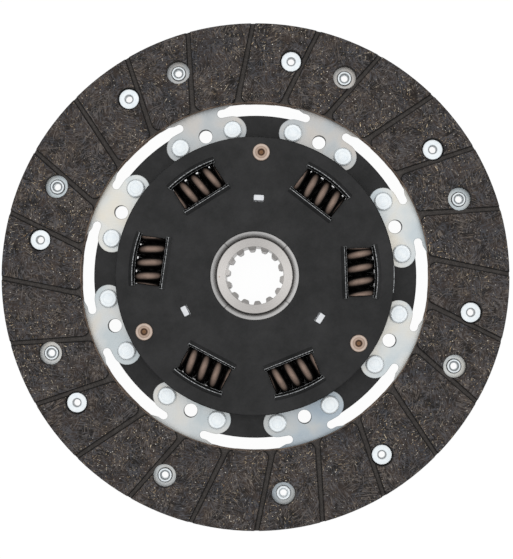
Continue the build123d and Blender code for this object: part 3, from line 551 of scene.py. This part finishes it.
# Four fine scores run across the rim of the ring
for bearing in SCORES:
    outward = (math.cos(math.radians(bearing)), math.sin(math.radians(bearing)), 0)
    sideways = node(ring_steel, "VectorMath", {0: place, 1: (-outward[1], outward[0], 0)},
                    operation="DOT_PRODUCT").outputs["Value"]
    sideways = node(ring_steel, "Math", {0: sideways}, operation="ABSOLUTE").outputs[0]
    score = node(ring_steel, "MapRange",
                 {"Value": sideways, "From Min": 0.0004, "From Max": 0.00015}).outputs[0]
    ahead = node(ring_steel, "VectorMath", {0: place, 1: outward}, operation="DOT_PRODUCT").outputs["Value"]
    ahead = node(ring_steel, "Math", {0: ahead, 1: 0.0}, operation="GREATER_THAN").outputs[0]
    score = node(ring_steel, "Math", {0: score, 1: ahead}, operation="MULTIPLY").outputs[0]
    score = node(ring_steel, "Math", {0: score, 1: 0.55}, operation="MULTIPLY").outputs[0]
    ring_colour = node(ring_steel, "Mix", {0: score, 6: ring_colour, 7: linear("#3a3836")},
                       data_type="RGBA").outputs[2]
# Painted light: the ring is brighter towards the right, the side of the low light
painted_right_light = node(ring_steel, "VectorMath", {0: place, 1: (1, -0.3, 0)},
               operation="DOT_PRODUCT").outputs["Value"]
painted_right_light = node(ring_steel, "MapRange",
               {"Value": painted_right_light, "From Min": -0.018, "From Max": 0.018, "To Min": 0.90,
                "To Max": 1.16}).outputs[0]
ring_colour = node(ring_steel, "VectorMath", {0: ring_colour, "Scale": painted_right_light}, operation="SCALE").outputs[0]
link(ring_steel, ring_colour, ring_shader, "Base Color")
give(["front_guide_ring"], ring_steel)


# Tabbed ring and cone spring.
# Stamped sheet steel with a bright zinc coat; the tab ends stand in the slots of the cover plate. To the eye:
# light grey and faintly clouded.
STAMPED_CLOUD = 0.0010
stamped, stamped_shader = new_material("zinc_coated_stamped_steel")
place = node(stamped, "TexCoord").outputs["Object"]
cloud = node(stamped, "TexNoise", {"Vector": place, "Scale": 0.5 / STAMPED_CLOUD, "Detail": 3.0})
stamped_colour = node(stamped, "ValToRGB", {"Fac": cloud.outputs["Fac"]},
                      stops=((0.3, "#c4c6ca"), (0.7, "#dadcde"))).outputs[0]
link(stamped, stamped_colour, stamped_shader, "Base Color")
stamped_shader.inputs["Metallic"].default_value = 0.8
grained(stamped, stamped_shader, cloud.outputs["Fac"], 0.36, 0.48, 0.1, 0.00003)
give(["tabbed_ring", "cone_spring"], stamped)


# Friction washer and rear guide ring.
# Moulded from glass-filled polyamide, which runs dry on steel. To the eye: matt black-brown plastic with a
# slight sparkle of glass at the surface.

# The glass fibres are finer, and drawn this coarse so that they show
GLASS_SPECK = 0.000357
polyamide, polyamide_shader = new_material("moulded_glass_filled_polyamide")
place = node(polyamide, "TexCoord").outputs["Object"]
glass_specks = node(polyamide, "TexNoise", {"Vector": place, "Scale": 0.5 / GLASS_SPECK, "Detail": 2.0})
polyamide_colour = node(polyamide, "ValToRGB", {"Fac": glass_specks.outputs["Fac"]},
                        stops=((0.4, "#2a2723"), (0.66, "#4a453d"))).outputs[0]
link(polyamide, polyamide_colour, polyamide_shader, "Base Color")
polyamide_shader.inputs["Roughness"].default_value = 0.55
polyamide_shader.inputs["IOR"].default_value = 1.53
relief = node(polyamide, "Bump",
              {"Height": glass_specks.outputs["Fac"], "Strength": 0.15, "Distance": 0.00003})
link(polyamide, relief.outputs[0], polyamide_shader, "Normal")
give(["friction_washer", "rear_guide_ring"], polyamide)


# Damper springs.
# Six springs of round oil-tempered chrome-silicon wire, coiled cold, tempered brown, ends ground flat. They
# stand in for the CAD springs, which are hidden, and are a hair slimmer, which leaves them room to turn.
TEMPER_CLOUD = 0.001515
SPRING_CIRCLE = 0.04685
SPRING_HEIGHT = 0.0161
WIRE_RADIUS = 0.0022
COIL_RADIUS = 0.00624
COIL_PITCH = 0.00605
SPRING_LENGTH = 0.0210
END_RING = 0.0012
CUT_OVERRUN = 0.0002
COIL_STEPS = 48
WIRE_SIDES = 24
RING_STEPS = 72
# Turned by half of the hub's turn, a straight spring has to keep its outer corner inside the plates' windows
# Bearing of each window, and where the middle crest of its spring lies along it
crest_from_middle = {1.93: 0.00180, 51.93: -0.00125, 121.93: -0.00077, 171.93: 0.00073, 241.93: -0.00073,
                     291.93: -0.00097}

wire, wire_shader = new_material("oil_tempered_spring_wire")
place = node(wire, "TexCoord").outputs["Object"]
temper = node(wire, "TexNoise",
              {"Vector": place, "Scale": 0.5 / TEMPER_CLOUD, "Detail": 3.0, "Roughness": 0.6})
temper_colour = node(wire, "ValToRGB", {"Fac": temper.outputs["Fac"]},
                     stops=((0.3, "#7f6c62"), (0.7, "#978275"))).outputs[0]
# Painted light and shade: the upward-facing crests of the upper coils take the temper colour; sides and
# insides of the coils are painted near black as shade
lift = node(wire, "SeparateXYZ", {"Vector": node(wire, "TexCoord").outputs["Normal"]}).outputs["Z"]
lit_crest_share = node(wire, "MapRange", {"Value": lift, "From Min": 0.68, "From Max": 1.0}).outputs[0]
above = node(wire, "SeparateXYZ", {"Vector": place}).outputs["Z"]
above = node(wire, "MapRange",
             {"Value": above, "From Min": SPRING_HEIGHT + 0.005,
              "From Max": SPRING_HEIGHT + 0.007}).outputs[0]
lit_crest_share = node(wire, "Math", {0: lit_crest_share, 1: above}, operation="MULTIPLY").outputs[0]
lit_and_shaded_wire = node(wire, "Mix", {0: lit_crest_share, 6: linear("#0d0b0a"), 7: temper_colour}, data_type="RGBA")
link(wire, lit_and_shaded_wire.outputs[2], wire_shader, "Base Color")
wire_shader.inputs["Metallic"].default_value = 0.35
wire_shader.inputs["Roughness"].default_value = 0.5
wire_shader.inputs["Specular IOR Level"].default_value = 0.2
relief = node(wire, "Bump", {"Height": temper.outputs["Fac"], "Strength": 0.2, "Distance": 0.00003})
link(wire, relief.outputs[0], wire_shader, "Normal")

for number, (angle, crest) in enumerate(sorted(crest_from_middle.items()), start=1):
    name = f"damper_spring_{number}"
    outward = Vector((math.cos(math.radians(angle)), math.sin(math.radians(angle)), 0))
    along = Vector((-outward.y, outward.x, 0))
    middle = outward * SPRING_CIRCLE + Vector((0, 0, SPRING_HEIGHT))
    run_out = SPRING_LENGTH / 2 + WIRE_RADIUS + CUT_OVERRUN
    start = crest - COIL_PITCH * math.ceil((crest + run_out) / COIL_PITCH)
    turns = (run_out - start) / COIL_PITCH
    # The wire's round section is spun along the coil, lying along X, then cut to length and put in its window
    bpy.ops.object.select_all(action="DESELECT")
    bpy.ops.mesh.primitive_circle_add(vertices=WIRE_SIDES, radius=WIRE_RADIUS,
                                      location=(start, 0, COIL_RADIUS),
                                      rotation=(math.pi / 2, 0, 0))
    spring = bpy.context.object
    spring.name = name + "_wire"
    bpy.ops.object.transform_apply(location=True, rotation=True, scale=True)
    screw = spring.modifiers.new("coil", "SCREW")
    screw.axis = "X"
    screw.angle = 2 * math.pi * turns
    screw.screw_offset = COIL_PITCH * turns
    screw.steps = screw.render_steps = int(COIL_STEPS * turns)
    screw.use_smooth_shade = True
    bpy.ops.object.modifier_apply(modifier="coil")
    # Closing coils at both ends, ground down to a thin flat ring
    bpy.ops.object.mode_set(mode="EDIT")
    for side in (-1, 1):
        bpy.ops.mesh.primitive_torus_add(major_radius=COIL_RADIUS, minor_radius=WIRE_RADIUS,
                                         major_segments=RING_STEPS,
                                         minor_segments=WIRE_SIDES, rotation=(0, math.pi / 2, 0),
                                         location=(side * (SPRING_LENGTH / 2 + WIRE_RADIUS - END_RING), 0, 0))
    for side in (-1, 1):
        bpy.ops.mesh.select_all(action="SELECT")
        bpy.ops.mesh.bisect(plane_co=(side * SPRING_LENGTH / 2, 0, 0), plane_no=(side, 0, 0), use_fill=True,
                            clear_outer=True, clear_inner=False)
    bpy.ops.mesh.select_all(action="SELECT")
    bpy.ops.mesh.normals_make_consistent(inside=False)
    bpy.ops.object.mode_set(mode="OBJECT")
    spring.matrix_world = Matrix.Translation(middle) @ Matrix((along, outward * -1,
                                                               (0, 0, 1))).transposed().to_4x4()
    bpy.ops.object.select_all(action="DESELECT")
    spring.select_set(True)
    bpy.context.view_layer.objects.active = spring
    bpy.ops.object.transform_apply(location=True, rotation=True, scale=True)
    bpy.ops.object.shade_smooth_by_angle(angle=math.radians(40))
    spring.data.materials.append(wire)
    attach(spring, "springs")
    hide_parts(name)
    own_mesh(spring)


# Studio: a white sheet under the disc, a broad soft light overhead, a little to the upper left, a low one on
# the right and a pale surround. The sheet shows white to the camera and in reflections and keeps a faint
# shadow of the disc; in the ring right under the springs, closed in by both plates, it lies in full shadow.
SHEET_HEIGHT = -0.0002
SHADOW_INNER = (0.0370, 0.0385)
SHADOW_OUTER = (0.0551, 0.0546)
SOFTBOXES = [("overhead_softbox", (-0.12, 0.16, 1.0), 1.6, 7.0),
             ("side_softbox", (0.9, -0.15, 0.35), 0.4, 1.0)]
CAMERA_AIM = Vector((0.00075, -0.00158, 0.0168))
CAMERA_DISTANCE = 0.600
CAMERA_LEANS = (0.8, -1.4)
bpy.ops.object.select_all(action="DESELECT")
bpy.ops.mesh.primitive_plane_add(size=6.0, location=(0, 0, SHEET_HEIGHT))
sheet_floor = bpy.context.object
sheet_floor.name = "studio_sheet"
bpy.ops.object.transform_apply(location=True, rotation=True, scale=True)
paper = bpy.data.materials.new("white_paper_sheet")
paper.use_nodes = True
paper.node_tree.nodes.clear()
rays = node(paper, "LightPath")
seen = node(paper, "Math", {0: rays.outputs["Is Camera Ray"], 1: rays.outputs["Is Glossy Ray"]},
            operation="MAXIMUM")
seen = node(paper, "Math", {0: seen.outputs[0], 1: rays.outputs["Is Transmission Ray"]}, operation="MAXIMUM")
matt = node(paper, "BsdfDiffuse", {"Color": linear("#e6e6e6")})
faint = node(paper, "BsdfDiffuse", {"Color": (0.08, 0.08, 0.08, 1.0)})
place = node(paper, "TexCoord").outputs["Object"]
off_axis = from_axis(paper, place)
shade_start = node(paper, "MapRange",
                   {"Value": off_axis, "From Min": SHADOW_INNER[0], "From Max": SHADOW_INNER[1]}).outputs[0]
shade_end = node(paper, "MapRange",
                 {"Value": off_axis, "From Min": SHADOW_OUTER[0], "From Max": SHADOW_OUTER[1]}).outputs[0]
shade = node(paper, "Math", {0: shade_start, 1: shade_end}, operation="MULTIPLY").outputs[0]
brightness = node(paper, "MapRange", {"Value": shade, "To Min": 0.96, "To Max": 0.0}).outputs[0]
glow = node(paper, "Emission", {"Color": (1, 1, 1, 1), "Strength": brightness})
shown = node(paper, "AddShader", {0: faint.outputs[0], 1: glow.outputs[0]})
paper_mix = node(paper, "MixShader", {0: seen.outputs[0], 1: matt.outputs[0], 2: shown.outputs[0]})
# From below the sheet is clear, so that the underside of the disc can be looked at
clear = node(paper, "BsdfTransparent")
one_sided = node(paper, "MixShader",
                 {0: node(paper, "NewGeometry").outputs["Backfacing"], 1: paper_mix.outputs[0],
                  2: clear.outputs[0]})
node(paper, "OutputMaterial", {"Surface": one_sided.outputs[0]})
sheet_floor.data.materials.append(paper)

world = bpy.data.worlds.new("studio_surround")
bpy.context.scene.world = world
world.use_nodes = True
surround = world.node_tree.nodes["Background"]
surround.inputs["Color"].default_value = (1.0, 1.0, 1.0, 1.0)
world_rays = world.node_tree.nodes.new("ShaderNodeLightPath")
world_light = world.node_tree.nodes.new("ShaderNodeMapRange")
world_light.inputs["To Min"].default_value = 0.50
world_light.inputs["To Max"].default_value = 1.0
world.node_tree.links.new(world_rays.outputs["Is Camera Ray"], world_light.inputs["Value"])
world.node_tree.links.new(world_light.outputs[0], surround.inputs["Strength"])

for light_name, where, size, watts in SOFTBOXES:
    lamp = bpy.data.lights.new(light_name, "AREA")
    lamp.size = size
    lamp.energy = watts
    lamp_object = bpy.data.objects.new(light_name, lamp)
    bpy.context.scene.collection.objects.link(lamp_object)
    lamp_object.location = where
    lamp_object.rotation_euler = (Vector((0, 0, 0.02)) - Vector(where)).to_track_quat("-Z", "Y").to_euler()

camera = bpy.data.cameras.new("photo_camera")
camera.lens = 86.11
camera.sensor_width = 36.0
camera_object = bpy.data.objects.new("photo_camera", camera)
bpy.context.scene.collection.objects.link(camera_object)
towards = Vector([math.sin(math.radians(lean)) for lean in CAMERA_LEANS] + [0])
towards.z = math.sqrt(1 - towards.length_squared)
camera_object.location = CAMERA_AIM + towards * CAMERA_DISTANCE
picture_right = Vector((0, 1, 0)).cross(towards).normalized()
picture_up = towards.cross(picture_right)
camera_object.rotation_mode = "QUATERNION"
camera_object.rotation_quaternion = Matrix((picture_right, picture_up, towards)).transposed().to_quaternion()
bpy.context.scene.camera = camera_object
bpy.context.scene.view_settings.view_transform = "Standard"
